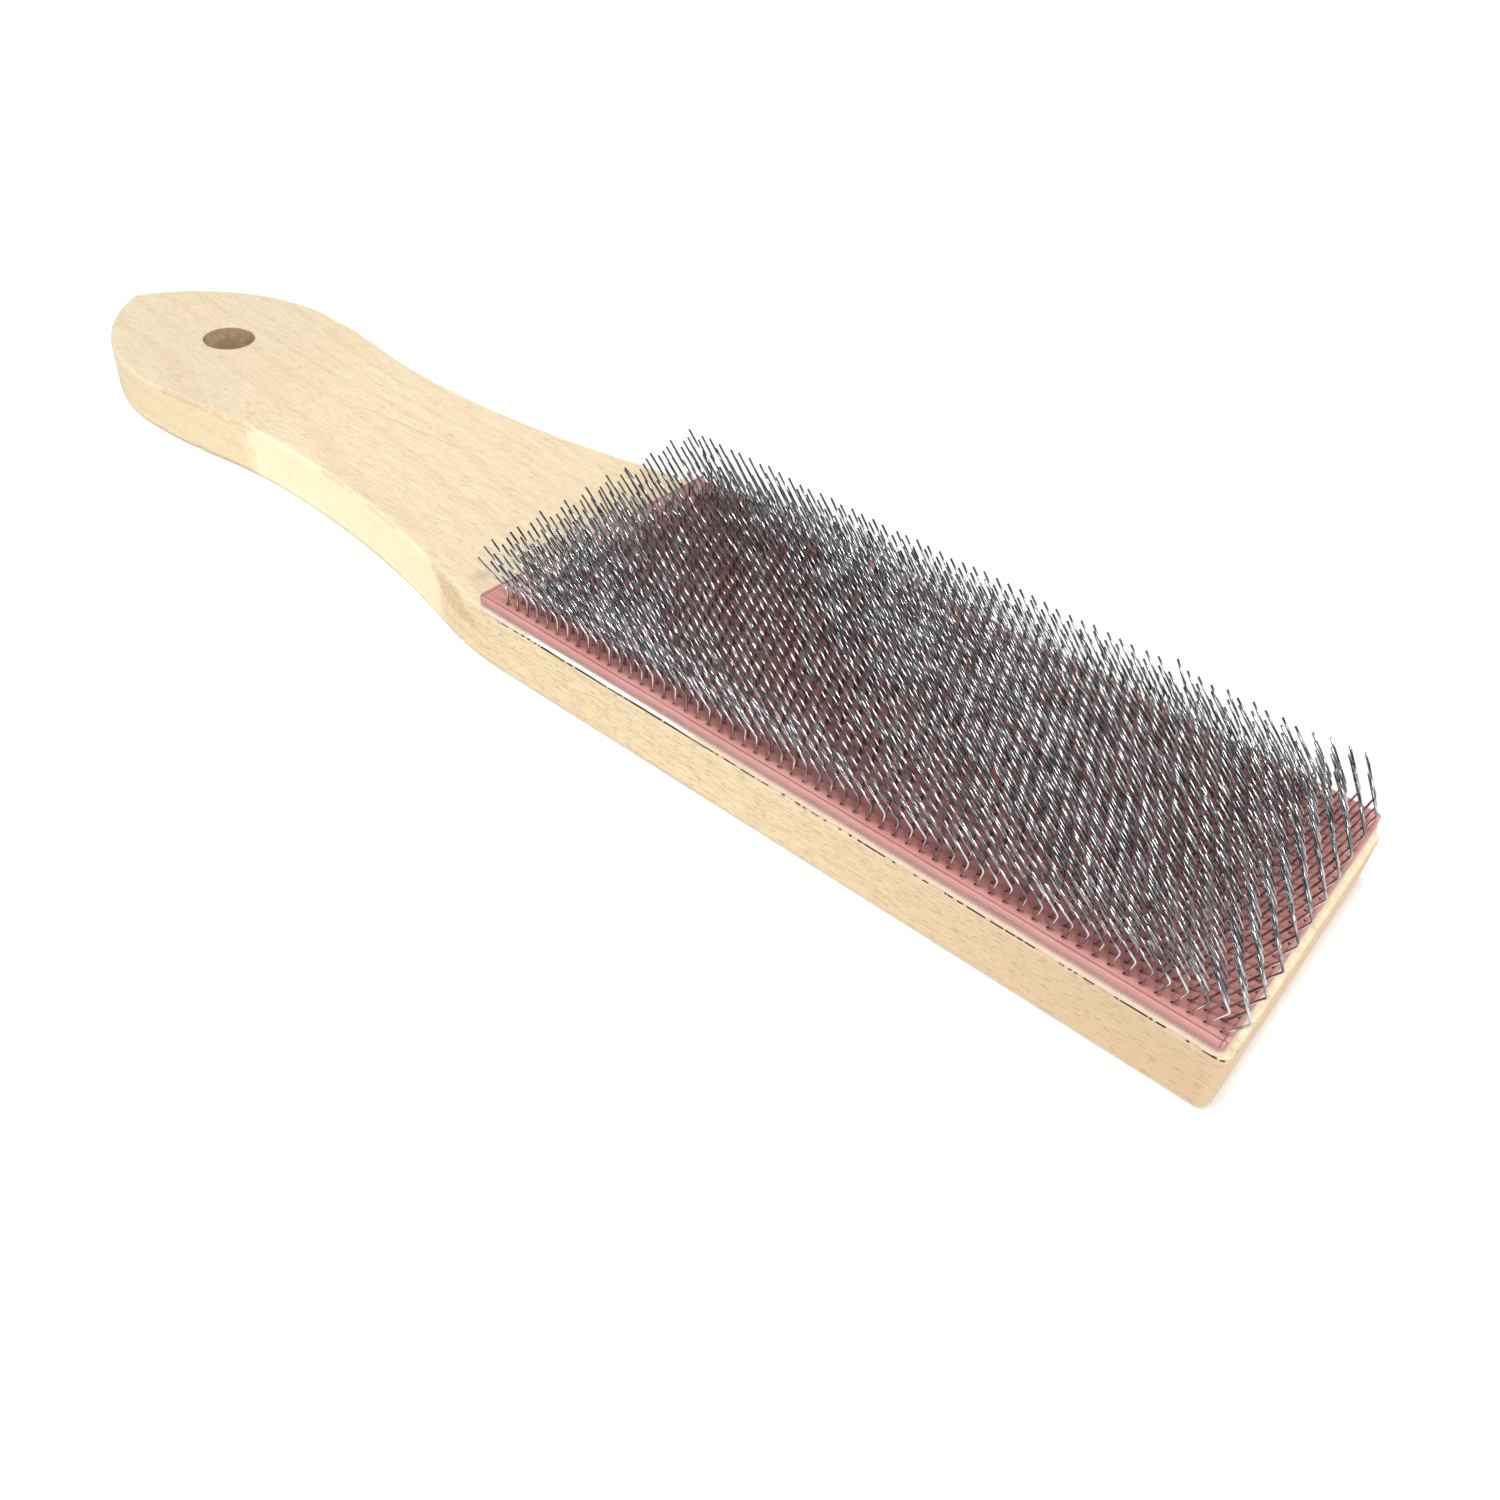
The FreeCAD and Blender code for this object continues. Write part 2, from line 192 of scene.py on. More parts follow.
def beech_material():
    beech, start = new_material("bare_beech")
    place = place_in_mm(start)
    x, y, z = (part_of(place, axis) for axis in "XYZ")
    upward = abs(part_of(start.node("NewGeometry", {}, {}, "Normal"), "Z"))
    side = 1 - upward.rise(0.35, 0.9)
    edge = 4 * upward * (1 - upward)
    near = 1 - y.rise(*NEAR_FADE)

    # growth rings cut at a slant, and the fibres that run along the board
    wander = noise(stretched(place, (0.3, 1, 1)), 0.04, 1.0)
    from_pith = distance(y - PITH_Y + 26 * wander, z - PITH_Z)
    ring = (from_pith + 0.05 * x) * (2 * math.pi / RING_SPACING)
    late_wood = ring.math("SINE", ring).rise(0.5, 1.0)
    streak = noise(stretched(place, (0.04, 1, 1)), 0.6, 4.0)
    fibre = noise(stretched(place, (0.06, 1, 1)), 4.2, 3.0)
    fleck = noise(stretched(place, (0.2, 1, 1)), 3.6, 1.0).rise(0.58, 0.66)
    blotch = noise(stretched(place, (0.5, 1, 1)), 0.07, 3.0)
    from_hole = distance(x - HOLE_X, y)
    block_side = x.rise(*BLOCK_SIDE_FADE)

    colour = mixed(streak.rise(0.3, 0.75) * 0.5, BEECH_PALE, BEECH_WARM)
    handled = 1 - (x + 22 * blotch + 0.35 * y).rise(*HANDLED_FADE)
    handled = handled.math("MAXIMUM", handled, 0.8 * (1 - from_hole.rise(5, 11)))
    tide_mark = handled.band(0.45, 0.12, 0.25) * blotch.rise(0.42, 0.52)
    colour = mixed(handled * 0.8, colour, BEECH_GREY)
    colour = mixed(tide_mark * 0.4, colour, BEECH_WARM)
    colour = mixed(blotch.rise(0.45, 0.7) * 0.3, colour, BEECH_WARM)
    colour = mixed(side * 0.75, colour, BEECH_SIDE)
    # painted shade: the sides grow darker towards the right end of the block
    colour = mixed(side * x.rise(40, 125) * 0.85, colour, BEECH_LATE_AND_SHADE)
    colour = mixed(late_wood * 0.16, colour, BEECH_LATE_AND_SHADE)
    fibre_share = 0.30 + side * (0.35 * block_side - 0.10)
    fleck_share = 0.22 + side * (0.33 * block_side - 0.08)
    colour = mixed(fibre.rise(0.46, 0.60) * fibre_share, colour, BEECH_LATE_AND_SHADE)
    colour = mixed(fleck * fleck_share, colour, BEECH_FLECK)

    # the near edge of the handle: freshly sanded wood, thin worn lines beside it and a torn tan patch
    torn = noise(place, 0.5, 3.0)
    worn_edge = (side + edge).rise(0.15, 0.5)
    sanded = near * (x + 6 * torn).band(SANDED_MIDDLE, SANDED_HALF, 4) * worn_edge
    colour = mixed(sanded * (0.45 + 0.5 * torn), colour, BEECH_CREAM)
    rim = edge.rise(0.25, 0.7) * near
    tan_rim = rim * x.band(TAN_RIM_MIDDLE, 10, 2) * torn.rise(0.36, 0.46)
    orange_rim = rim * x.band(ORANGE_RIM_MIDDLE, 10, 2) * torn.rise(0.40, 0.5)
    colour = mixed(tan_rim * 0.5, colour, BEECH_TAN)
    colour = mixed(orange_rim * 0.45, colour, BEECH_ORANGE)
    torn_patch = near * (x + 1.6 * z + 3 * torn).band(TORN_PATCH_X, 3.0, 2.0)
    torn_patch = torn_patch * (side + edge).rise(0.2, 0.6) * z.rise(3.8, 5.2)
    colour = mixed(torn_patch * (0.3 + 0.4 * fibre.rise(0.4, 0.6)), colour, BEECH_TAN)

    # a stain and the thin line of one growth ring on the top of the handle
    stain = 1 - (distance(x - STAIN_X, y - STAIN_Y) + 2 * torn).rise(1.3, 3.0)
    colour = mixed(stain * 0.6, colour, BEECH_STAIN)
    above_line = y - RING_LINE_Y - RING_LINE_SLOPE * (x - RING_LINE_X) - 1.2 * (torn - 0.5)
    ring_line = above_line.band(0, 0.1, 0.25) * x.band(-45.5, 10, 1.5)
    arc = distance(x - ARC_X, y - ARC_Y).band(ARC_RADIUS, 0.08, 0.25)
    ring_line = ring_line + arc * x.rise(-55.5, -54.5) * (1 - y.rise(-11, -10))
    colour = mixed(ring_line * (1 - side) * 0.4, colour, BEECH_LATE_AND_SHADE)

    # the drilled hole with its ragged rim, and dark dashes along the upper edge of the block: a few
    # nicks, but mostly painted shadow of the thin gap under the card's edge
    bored = 1 - (from_hole + 0.8 * torn).rise(HOLE_RADIUS + 0.3, HOLE_RADIUS + 0.75)
    colour = mixed(bored * (0.45 + 0.45 * side) * (0.7 + 0.3 * y.rise(-3, 3)), colour, BORED_WOOD)
    # painted shadow of the gap, broken into dashes, higher and wider where the gap stands open
    nick_and_gap_shadow_noise = noise(stretched(place, (1, 0.1, 0.1)), 0.9, 3.0)
    open_gap = x.band(OPEN_GAP_MIDDLE, OPEN_GAP_HALF, 6)
    nick_and_gap_shadow_height = (z - 0.06 * open_gap).band(NICK_AND_GAP_SHADOW_LEVEL, 0.06 + 0.05 * open_gap, 0.04)
    nick_and_gap_shadow = (nick_and_gap_shadow_noise + 0.12 * open_gap).rise(0.48, 0.51) * nick_and_gap_shadow_height
    nick_and_gap_shadow = nick_and_gap_shadow * abs(y).rise(24.2, 24.5) * x.rise(4, 7)
    colour = mixed(nick_and_gap_shadow, colour, NICK_AND_GAP_SHADOW)

    height = 0.5 * fibre + 0.3 * streak - 0.4 * fleck - 0.8 * nick_and_gap_shadow - 0.3 * bored * torn
    finish(start, colour, 0.52 + 0.16 * fibre - 0.08 * handled, height, 0.08, Specular_IOR_Level=0.3)
    return beech


paint(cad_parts["wooden_paddle"], beech_material())

# --- The glue ---
# A bed of white wood glue holds the card clothing on the block. Pressing it down squeezed a bead of
# glue out along the edges. It dried over the rounded edge of the wood, thickest on the near side.

CARD_LEFT, CARD_RIGHT = 1.4, 116.8
CARD_HALF_WIDTH = 24.65
CARD_CORNER = 0.8
BEAD_STEP = 0.35
BEAD_RADIUS = 0.10
BEAD_LEVEL = 9.06
WHITE_START, WHITE_END = 12.5, 45.0
WHITE_FADE_IN, WHITE_FADE_OUT = 4, 12
WHITE_LIFT = 0.14
BLOB_X, BLOB_HALF = 115.2, 1.6
BEAD_SIDES = 10
WAVE_SEEDS = 7919

GLUE_WHITE = (0.95, 0.94, 0.90, 1)
GLUE_CREAM = (0.71, 0.57, 0.46, 1)
GLUE_SMEAR = (0.72, 0.66, 0.58, 1)


def card_outline(step):
    """Points round the card from its near right corner, each with its outward direction."""
    left, right = CARD_LEFT + CARD_CORNER, CARD_RIGHT - CARD_CORNER
    half = CARD_HALF_WIDTH - CARD_CORNER
    points = []
    for centre, next_centre, first_deg in (
        ((right, -half), (right, half), -90),
        ((right, half), (left, half), 0),
        ((left, half), (left, -half), 90),
        ((left, -half), (right, -half), 180),
    ):
        turns = max(4, round(math.pi / 2 * CARD_CORNER / step))
        for turn in range(turns + 1):
            angle = math.radians(first_deg + 90 * turn / turns)
            out = Vector((math.cos(angle), math.sin(angle), 0))
            points.append((Vector((*centre, 0)) + out * CARD_CORNER, out))
        run = Vector((*next_centre, 0)) - Vector((*centre, 0))
        count = max(2, round(run.length / step))
        for n in range(1, count):
            points.append((Vector((*centre, 0)) + out * CARD_CORNER + run * (n / count), out))
    return points


def wave(value, seed):
    """A smooth random value from -1 to 1 that changes over about 1 unit."""
    low = math.floor(value)
    share = value - low
    share = share * share * (3 - 2 * share)
    first, second = (random.Random(seed * WAVE_SEEDS + low + n).uniform(-1, 1) for n in (0, 1))
    return first + (second - first) * share


def sweep(centres, radii, sides, closed=False):
    """A tube along the centres, as vertices and faces. An open tube's last two faces are its ends."""
    count = len(centres)
    verts, faces = [], []
    across = None
    for n, centre in enumerate(centres):
        before = centres[n - 1] if n or closed else centre
        after = centres[(n + 1) % count] if n + 1 < count or closed else centre
        along = (after - before).normalized()
        across = along.orthogonal() if across is None else across - along * across.dot(along)
        across.normalize()
        upward = along.cross(across)
        for s in range(sides):
            angle = 2 * math.pi * s / sides
            verts.append(centre + (across * math.cos(angle) + upward * math.sin(angle)) * radii[n])
    for n in range(count if closed else count - 1):
        here, there = n * sides, (n + 1) % count * sides
        for s in range(sides):
            t = (s + 1) % sides
            faces.append((here + s, here + t, there + t, there + s))
    if not closed:
        faces.append(tuple(reversed(range(sides))))
        faces.append(tuple(range((count - 1) * sides, count * sides)))
    return verts, faces


def add_piece(name, verts, faces, flat_faces=()):
    """A piece from vertices in millimetres, smooth but for its flat faces. It rides on the one body."""
    mesh = bpy.data.meshes.new(name)
    mesh.from_pydata([v * MM for v in verts], [], faces)
    flat = set(flat_faces)
    mesh.polygons.foreach_set("use_smooth", [n not in flat for n in range(len(faces))])
    mesh.update()
    piece = bpy.data.objects.new(name, mesh)
    bpy.context.scene.collection.objects.link(piece)
    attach(piece, "root")
    return piece


def on_near_side(y):
    return y <= -CARD_HALF_WIDTH + 0.5


def white_share(x, y):
    """1 along the near side where the bead is thick and white, and 0 elsewhere."""
    if not on_near_side(y):
        return 0.0
    fade_in = min(1.0, max(0.0, (x - WHITE_START) / WHITE_FADE_IN))
    fade_out = min(1.0, max(0.0, (WHITE_END - x) / WHITE_FADE_OUT))
    return fade_in * fade_out


def squeeze(x, y):
    """How many times thicker than the least the bead is at a place round the card."""
    swell = 1 + 0.8 * (0.5 + 0.5 * wave(x / 5.0 + y / 7.0, seed=3))
    blob = max(0.0, 1 - abs(x - BLOB_X) / BLOB_HALF) if on_near_side(y) else 0.0
    return swell + white_share(x, y) * (0.45 + 0.35 * wave(x / 3.0, seed=4)) + 0.9 * blob


def glue_material():
    glue, start = new_material("dried_glue")
    place = place_in_mm(start)
    x, y = (part_of(place, axis) for axis in "XY")
    cloud = noise(place, 0.6, 3.0)
    grain = noise(place, 5.0, 2.0)
    near = 1 - y.rise(-24.0, -23.0)
    ends = 3.0 * (cloud - 0.5)
    past_start = (x + ends).rise(WHITE_START - 1, WHITE_START)
    past_end = (x + 3 * ends).rise(WHITE_END - 8, WHITE_END)
    white = near * past_start * (1 - past_end)
    colour = mixed(near * (1 - x.rise(9, 13)), GLUE_CREAM, GLUE_SMEAR)
    colour = mixed(cloud.rise(0.4, 0.8) * 0.4, colour, GLUE_SMEAR)
    colour = mixed(white, colour, GLUE_WHITE)
    finish(start, colour, 0.3 + 0.3 * grain, grain + cloud, 0.05)
    return glue


glue = glue_material()
bead_centres, bead_radii = [], []
for point, out in card_outline(BEAD_STEP):
    thick = squeeze(point.x, point.y)
    level = BEAD_LEVEL + WHITE_LIFT * white_share(point.x, point.y)
    bead_centres.append(Vector((point.x, point.y, level)) + out * (0.05 * thick))
    bead_radii.append(BEAD_RADIUS * (1 + thick))
glue_bead = add_piece("glue_bead", *sweep(bead_centres, bead_radii, BEAD_SIDES, closed=True))
paint(glue_bead, glue)
paint(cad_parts["glue_bed"], glue)

# --- The cotton plies ---
# Three plies of cotton cloth, stuck together with rubber solution, that grip the staples' crowns.
# Only their cut edges show: the lowest is pale with glue, and the rubber has stained the upper ones.

THREAD_PITCH = 0.52
RUBBER_STAIN_FADE = (9.5, 9.75)
COTTON_PALE = (0.70, 0.55, 0.45, 1)
COTTON_STAINED = (0.52, 0.29, 0.27, 1)
COTTON_GAP = (0.30, 0.20, 0.17, 1)


def cotton_material():
    cotton, start = new_material("proofed_cotton")
    place = place_in_mm(start)
    x, y, z = (part_of(place, axis) for axis in "XYZ")
    turn = 2 * math.pi / THREAD_PITCH
    warp, weft = x * turn, y * turn
    threads = warp.math("SINE", warp) * weft.math("SINE", weft)
    threads = abs(threads + 0.4 * noise(place, 2.0, 2.0))
    fuzz = noise(place, 6.0, 3.0)
    colour = mixed(z.rise(*RUBBER_STAIN_FADE), COTTON_PALE, COTTON_STAINED)
    colour = mixed((1 - threads.rise(0.1, 0.5)) * 0.3, colour, COTTON_GAP)
    finish(start, colour, 0.8 + 0.15 * fuzz, threads + 0.6 * fuzz, 0.08)
    return cotton


cotton = cotton_material()
for ply_name in ("cotton_ply_lower", "cotton_ply_middle", "cotton_ply_upper"):
    paint(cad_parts[ply_name], cotton)

# --- The rubber face ---
# A layer of red rubber vulcanised on the cotton, with a pressed groove inside its cut edge.
# The wires come up through small pits in it. Shade is painted onto the rubber between the wires, in the
# pits and groove, round the wires' feet and partly on its cut sides.

RUBBER_BOTTOM, RUBBER_TOP = 10.15, 11.0
RUBBER_STEP = 0.45
GROOVE_INSET = 0.53
PIT_BEHIND = 0.28
GROOVE_LEFT, GROOVE_RIGHT = CARD_LEFT + GROOVE_INSET, CARD_RIGHT - GROOVE_INSET
GROOVE_Y = CARD_HALF_WIDTH - GROOVE_INSET
LAST_TOOTH_X, NEAR_TOOTH_Y = 115.85, -23.2
TOOTH_PITCH, ROW_PITCH = 1.96, 1.6
ROWS_IN_SET = 3

RUBBER_SALMON = (0.66, 0.30, 0.27, 1)
RUBBER_LIGHT = (0.72, 0.39, 0.355, 1)
RUBBER_DARK_TONE_AND_SHADE = (0.25, 0.085, 0.078, 1)
RUBBER_CUT_AND_SHADE = (0.50, 0.27, 0.265, 1)
RUBBER_RIM = (0.36, 0.21, 0.22, 1)
RUBBER_PIT_SHADE = (0.035, 0.012, 0.012, 1)

# inset from the cut edge and height above the flat of the rubber, from the bottom edge inwards
RUBBER_PROFILE = (
    (0.0, RUBBER_BOTTOM - RUBBER_TOP), (0.0, -0.45), (0.0, -0.16), (0.05, -0.05),
    (0.14, 0.0), (0.26, 0.03), (0.38, 0.02), (0.46, -0.05),
    (GROOVE_INSET, -0.08), (0.60, -0.05), (0.68, 0.0), (0.75, 0.0),
)


def rubber_mesh():
    rim = card_outline(RUBBER_STEP)
    verts, faces = [], []
    for inset, rise in RUBBER_PROFILE:
        for n, (point, out) in enumerate(rim):
            drift = 0.07 * wave(n / 14, seed=11) + 0.03 * wave(n / 3, seed=12)
            lift = 0.025 * wave(n / 9, seed=13) * min(1.0, 2 * (1 - inset)) if rise > -0.4 else 0.0
            level = Vector((0, 0, RUBBER_TOP + rise + lift))
            verts.append(point + out * (drift * (1 - inset) - inset) + level)
    count = len(rim)
    for ring in range(len(RUBBER_PROFILE) - 1):
        for n in range(count):
            m = (n + 1) % count
            here, there = ring * count, (ring + 1) * count
            faces.append((here + n, here + m, there + m, there + n))
    faces.append(tuple(range((len(RUBBER_PROFILE) - 1) * count, len(RUBBER_PROFILE) * count)))
    faces.append(tuple(reversed(range(count))))
    return verts, faces, (len(faces) - 2, len(faces) - 1)


def rubber_material():
    rubber, start = new_material("red_rubber")
    place = place_in_mm(start)
    x, y = (part_of(place, axis) for axis in "XY")
    upward = part_of(start.node("NewGeometry", {}, {}, "Normal"), "Z")
    cut = 1 - upward.rise(0.3, 0.8)

    # the pits stand as the teeth do, each row a third of the pitch further back than the one before
    row = (y - NEAR_TOOTH_Y) / ROW_PITCH
    nearest_row = row.math("ROUND", row)
    column = (LAST_TOOTH_X - x) / TOOTH_PITCH - nearest_row / ROWS_IN_SET
    across = (row - nearest_row) * ROW_PITCH
    along = (column - column.math("ROUND", column)) * TOOTH_PITCH
    from_wire = distance(across, along)
    from_pit = distance(across, along - PIT_BEHIND)
    planted = (1 - abs(y).rise(23.7, 24.0)) * x.rise(4.4, 4.7) * (1 - x.rise(116.2, 116.5))
    # painted shade: near black in the pit where each wire comes up, and darker round each wire's foot
    shaded_pit = planted * (1 - from_pit.rise(0.10, 0.22))
    shaded_crater = planted * (1 - from_wire.rise(0.2, 0.5))

    # the clean border with its groove, painted shade in the groove and over the middle between the
    # wires
    cloud = noise(place, 0.16, 3.0)
    grain = noise(place, 3.2, 3.0)
    colour = mixed(cloud.rise(0.35, 0.7) * 0.6, RUBBER_SALMON, RUBBER_LIGHT)
    # painted shade over the rubber between the wires, weaker towards the right end
    inside = (1 - abs(y).rise(22.2, 23.6)) * x.rise(4.2, 7.5)
    shade_between_wires = inside * (0.7 + 0.25 * grain) * (1 - 0.45 * x.rise(102, 115))
    colour = mixed(shade_between_wires, colour, RUBBER_DARK_TONE_AND_SHADE)
    # the cut sides darker: partly the cut rubber's own colour, partly painted shade
    colour = mixed(cut * 0.8, colour, RUBBER_CUT_AND_SHADE)
    # painted shade in the pressed groove
    groove = abs(y).band(GROOVE_Y, 0.05, 0.1)
    for groove_x in (GROOVE_LEFT, GROOVE_RIGHT):
        groove = groove + x.band(groove_x, 0.05, 0.1)
    colour = mixed(groove.rise(0.1, 0.9) * (1 - inside) * 0.7, colour, RUBBER_DARK_TONE_AND_SHADE)
    left_rim = (1 - x.rise(CARD_LEFT + 0.1, CARD_LEFT + 0.5)) * (0.5 + 0.5 * grain)
    colour = mixed(left_rim * 0.8, colour, RUBBER_RIM)
    colour = mixed(grain.rise(0.55, 0.8) * 0.2, colour, RUBBER_DARK_TONE_AND_SHADE)
    colour = mixed(shaded_crater * 0.3, colour, RUBBER_DARK_TONE_AND_SHADE)
    colour = mixed(shaded_pit, colour, RUBBER_PIT_SHADE)
    height = 0.2 * grain - 0.5 * shaded_crater - 0.5 * shaded_pit + 0.15 * cloud
    finish(start, colour, 0.5 + 0.25 * grain, height, 0.16, Specular_IOR_Level=0.35)
    return rubber


rubber_verts, rubber_faces, rubber_flats = rubber_mesh()
rubber_sheet = add_piece("rubber_sheet", rubber_verts, rubber_faces, rubber_flats)
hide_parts("rubber_face")
paint(rubber_sheet, rubber_material())

# --- The wire staples ---
# Each staple is hardened steel wire bent to a crown and two teeth, pushed up through the cloth.
# A knee turns the teeth back towards the handle. Use has bent them, so each leans a little differently.

STAPLE_LINES = 15
STAPLES_IN_LINE = 57
WIRE_RADIUS = 0.16
WIRE_SIDES = 8
CROWN_Z = 9.19
CROWN_BEND, FOOT_BEND, KNEE_BEND = 0.45, 0.25, 0.36
KNEE_HEIGHT = 2.55
TOOTH_LENGTH, TOOTH_LEAN = 6.1, 45.5
FIELD_LEFT, FIELD_LENGTH = 5.0, 111.0
FIELD_HALF_WIDTH = -NEAR_TOOTH_Y
LEFT_END_SHARE = 0.3
RIGHT_END_START, RIGHT_END_LENGTH = 106, 10
ODD_SHARE, ODD_LEAN, ODD_ASIDE = 0.03, 10, 12
KNOCKED_LEAN = 8
BEND_STEPS = 3
LINE_SEEDS = 100

STEEL_LIGHT = (0.68, 0.70, 0.715, 1)
STEEL_DARK_AND_SHADE = (0.18, 0.185, 0.19, 1)
STEEL_RUBBER_REFLECTION = (0.46, 0.38, 0.36, 1)


def rounded(corners, bends, steps):
    """The corners of a path, each one between the ends replaced by a smooth turn."""
    path = [corners[0]]
    for n in range(1, len(corners) - 1):
        back = (corners[n - 1] - corners[n]).normalized() * bends[n - 1]
        ahead = (corners[n + 1] - corners[n]).normalized() * bends[n - 1]
        for step in range(steps + 1):
            share = step / steps
            path.append(corners[n] + back * (1 - share) ** 2 + ahead * share ** 2)
    path.append(corners[-1])
    return path


def tooth_corners(draw, x, y):
    """The base, knee and tip of one tooth, from where its wire comes up through the rubber."""
    # far grows from 0 to 1 across the card, and left and right grow to 1 at its two worn ends
    far = 0.5 + y / (2 * FIELD_HALF_WIDTH)
    along = (x - FIELD_LEFT) / FIELD_LENGTH
    left = max(0.0, 1 - along / LEFT_END_SHARE)
    right = max(0.0, (x - RIGHT_END_START) / RIGHT_END_LENGTH)
    splay = (y / FIELD_HALF_WIDTH) ** 3
    forward = -0.2 + along ** 2 + (1.3 - 1.5 * far) * right ** 1.5
    knee = Vector((
        x + forward + draw.gauss(0, 0.04),
        y + draw.gauss(0, 0.04),
        RUBBER_TOP + KNEE_HEIGHT + 0.15 * far + (0.7 - 0.5 * far) * right + draw.gauss(0, 0.07),
    ))
    lean = math.radians(TOOTH_LEAN + 4 * left - 15 * right ** 1.5 + draw.gauss(0, 1.2))
    aside = math.radians(7 * splay + draw.gauss(0, 1.2))
    length = TOOTH_LENGTH + 0.5 * far + 0.6 * left * far - 0.4 * right + draw.gauss(0, 0.16)
    if draw.random() < ODD_SHARE:
        lean += math.radians(draw.uniform(-ODD_LEAN, ODD_LEAN))
        aside += math.radians(draw.uniform(-ODD_ASIDE, ODD_ASIDE))
    if x < FIELD_LEFT + 1.5 and y < -FIELD_HALF_WIDTH + 0.5:
        lean += math.radians(KNOCKED_LEAN)
    tip = knee + length * Vector((
        -math.sin(lean) * math.cos(aside),
        math.sin(lean) * math.sin(aside),
        math.cos(lean),
    ))
    return Vector((x, y, RUBBER_TOP)), knee, tip


def staple_line(line):
    """All the staples of one line, as vertices, faces and the numbers of the flat cut ends."""
    group, step = divmod(line, ROWS_IN_SET)
    near_y = NEAR_TOOTH_Y + (2 * ROWS_IN_SET * group + step) * ROW_PITCH
    far_y = near_y + ROWS_IN_SET * ROW_PITCH
    draw = random.Random(LINE_SEEDS + line)
    bends = (KNEE_BEND, FOOT_BEND, CROWN_BEND, CROWN_BEND, FOOT_BEND, KNEE_BEND)
    verts, faces, flats = [], [], []
    for column in range(STAPLES_IN_LINE):
        x = LAST_TOOTH_X - (column + step / ROWS_IN_SET) * TOOTH_PITCH
        near_base, near_knee, near_tip = tooth_corners(draw, x, near_y)
        far_base, far_knee, far_tip = tooth_corners(draw, x, far_y)
        corners = [
            near_tip, near_knee, near_base, Vector((x, near_y, CROWN_Z)),
            Vector((x, far_y, CROWN_Z)), far_base, far_knee, far_tip,
        ]
        path = rounded(corners, bends, BEND_STEPS)
        tube, sides = sweep(path, [WIRE_RADIUS] * len(path), WIRE_SIDES)
        offset = len(verts)
        verts += tube
        faces += [tuple(offset + v for v in face) for face in sides]
        flats += [len(faces) - 2, len(faces) - 1]
    return verts, faces, flats


def steel_material():
    steel, start = new_material("card_wire")
    place = place_in_mm(start)
    z = part_of(place, "Z")
    tone = noise(place, 0.35, 2.0)
    drawn = noise(place, 1.4, 2.0)
    low = 1 - z.rise(11.2, 13.4)
    colour = mixed(tone.rise(0.4, 0.6), STEEL_LIGHT, STEEL_DARK_AND_SHADE)
    # painted shade: the tips grow darker towards their ends
    colour = mixed(z.rise(15.5, 18.5) * 0.6, colour, STEEL_DARK_AND_SHADE)
    # painted reflection of the red rubber: the lower legs tinted reddish brown
    colour = mixed(low * (0.3 + 0.5 * tone), colour, STEEL_RUBBER_REFLECTION)
    finish(start, colour, 0.09 + 0.14 * drawn, drawn, 0.002, Metallic=1.0)
    return steel


steel = steel_material()
for line in range(STAPLE_LINES):
    wire_verts, wire_faces, cut_ends = staple_line(line)
    wires = add_piece(f"wire_staples_{line + 1:02d}", wire_verts, wire_faces, cut_ends)
    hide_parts(f"staple_row_{line + 1:02d}")
    paint(wires, steel)

# --- The floor, the light and the camera ---
# A plain white studio floor that sweeps up into a low wall all round, and three big soft lamps far off,
# so the light is even along the card. The air is dim, so the wires have something dark to mirror.

FLOOR_RADIUS = 3000
WALL_HEIGHT, WALL_DEPTH = 1750, 600
SWEEP_STEPS, FLOOR_SIDES = 8, 96
FLOOR_WHITE = (0.97, 0.97, 0.97, 1)
FLOOR_SHADE = (0.95, 0.95, 0.95, 1)
FLOOR_LEVEL = -0.02
LAMP_SIZE = 1100
LAMP_DISTANCE = 4600
AIR_COLOUR = (0.97, 0.98, 1.0, 1)
AIR_STRENGTH = 0.12

CAMERA_PLACE = Vector((125.41, -132.75, 126.81))
CAMERA_RIGHT = Vector((0.77564461, 0.62510482, 0.08728916))
CAMERA_DOWN = Vector((0.46512912, -0.47261999, -0.74852204))
CAMERA_LENS = 33.06
SENSOR_WIDTH = 36

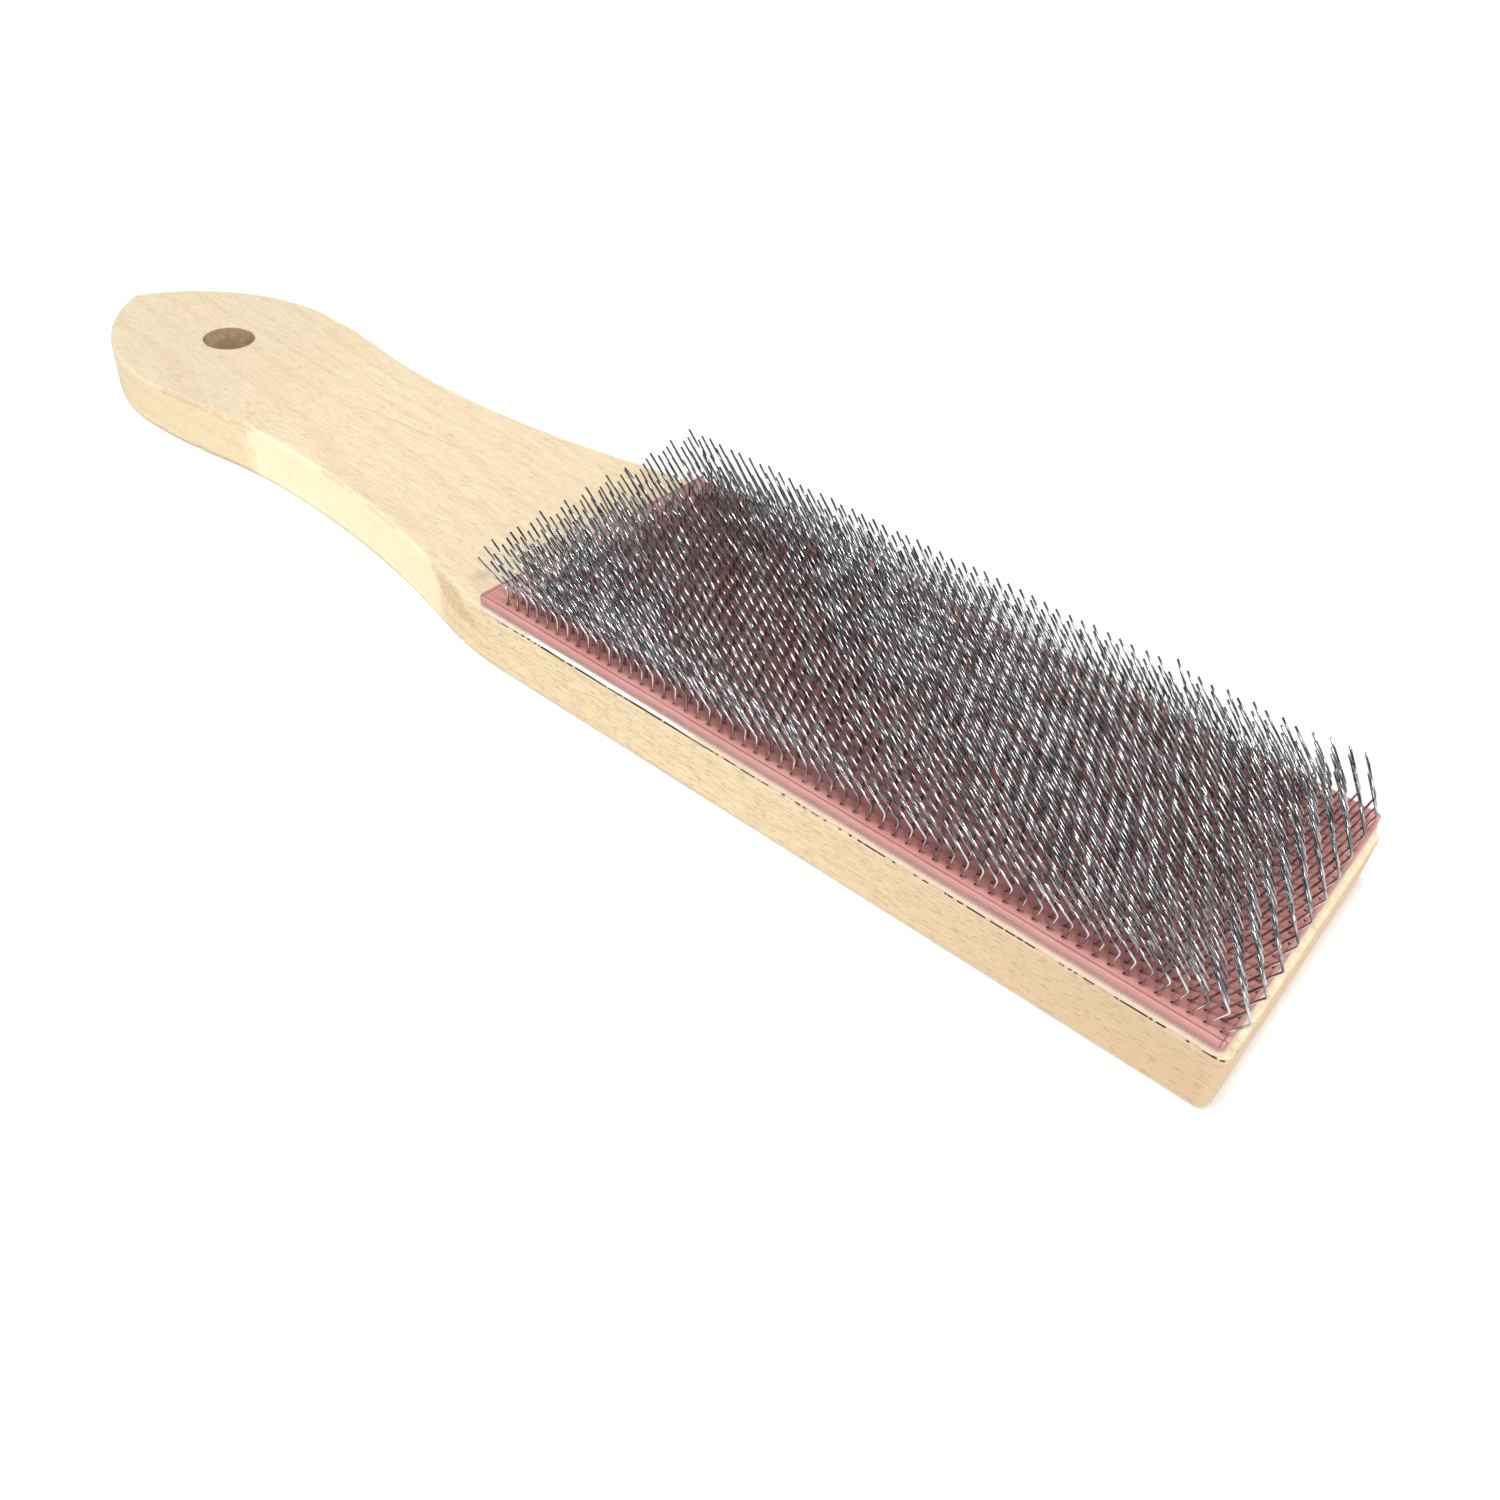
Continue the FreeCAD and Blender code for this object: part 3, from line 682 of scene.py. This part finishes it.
floor_verts = [Vector((0, 0, FLOOR_LEVEL))]
for step in range(SWEEP_STEPS + 1):
    rise = math.pi / 2 * step / SWEEP_STEPS
    ring_radius = FLOOR_RADIUS + WALL_DEPTH * math.sin(rise)
    ring_height = FLOOR_LEVEL + WALL_HEIGHT * (1 - math.cos(rise))
    for side in range(FLOOR_SIDES):
        angle = 2 * math.pi * side / FLOOR_SIDES
        floor_verts.append(Vector((
            ring_radius * math.cos(angle),
            ring_radius * math.sin(angle),
            ring_height,
        )))
floor_faces = [(0, 1 + side, 1 + (side + 1) % FLOOR_SIDES) for side in range(FLOOR_SIDES)]
for step in range(SWEEP_STEPS):
    inner, outer = 1 + step * FLOOR_SIDES, 1 + (step + 1) * FLOOR_SIDES
    for side in range(FLOOR_SIDES):
        following = (side + 1) % FLOOR_SIDES
        floor_faces.append((inner + side, outer + side, outer + following, inner + following))
floor = add_piece("floor", floor_verts, floor_faces)
floor_paint, start = new_material("studio_floor")
mottle = noise(place_in_mm(start), 0.02, 2.0)
floor_colour = mixed(mottle, FLOOR_WHITE, FLOOR_SHADE)
finish(start, floor_colour, 0.6 + 0.2 * mottle, mottle, 0.05, Specular_IOR_Level=0.0)
paint(floor, floor_paint)


def add_lamp(name, towards, watts, colour):
    lamp = bpy.data.lights.new(name, "AREA")
    lamp.shape = "DISK"
    lamp.size = LAMP_SIZE * MM
    lamp.energy = watts
    lamp.color = colour
    stand = bpy.data.objects.new(name, lamp)
    stand.location = Vector(towards).normalized() * (LAMP_DISTANCE * MM)
    stand.rotation_euler = (-stand.location).to_track_quat("-Z", "Y").to_euler()
    bpy.context.scene.collection.objects.link(stand)


add_lamp("key_lamp", towards=(-0.08, -0.12, 0.99), watts=107, colour=(1.0, 0.995, 0.985))
add_lamp("front_lamp", towards=(0.60, -0.55, 0.66), watts=99, colour=(1.0, 1.0, 0.995))
add_lamp("back_lamp", towards=(0.30, 0.66, 0.68), watts=29, colour=(1.0, 1.0, 1.0))

air = bpy.data.worlds.new("dim_air")
air.use_nodes = True
air.node_tree.nodes["Background"].inputs["Color"].default_value = AIR_COLOUR
air.node_tree.nodes["Background"].inputs["Strength"].default_value = AIR_STRENGTH
bpy.context.scene.world = air
bpy.context.scene.view_settings.view_transform = "Standard"

lens = bpy.data.cameras.new("camera")
lens.sensor_width = SENSOR_WIDTH
lens.lens = CAMERA_LENS
lens.clip_start = 0.01
camera = bpy.data.objects.new("camera", lens)
turn = Matrix((CAMERA_RIGHT, -CAMERA_DOWN, -CAMERA_RIGHT.cross(CAMERA_DOWN))).transposed()
camera.matrix_world = Matrix.Translation(CAMERA_PLACE * MM) @ turn.to_4x4()
bpy.context.scene.collection.objects.link(camera)
bpy.context.scene.camera = camera

bpy.context.view_layer.update()
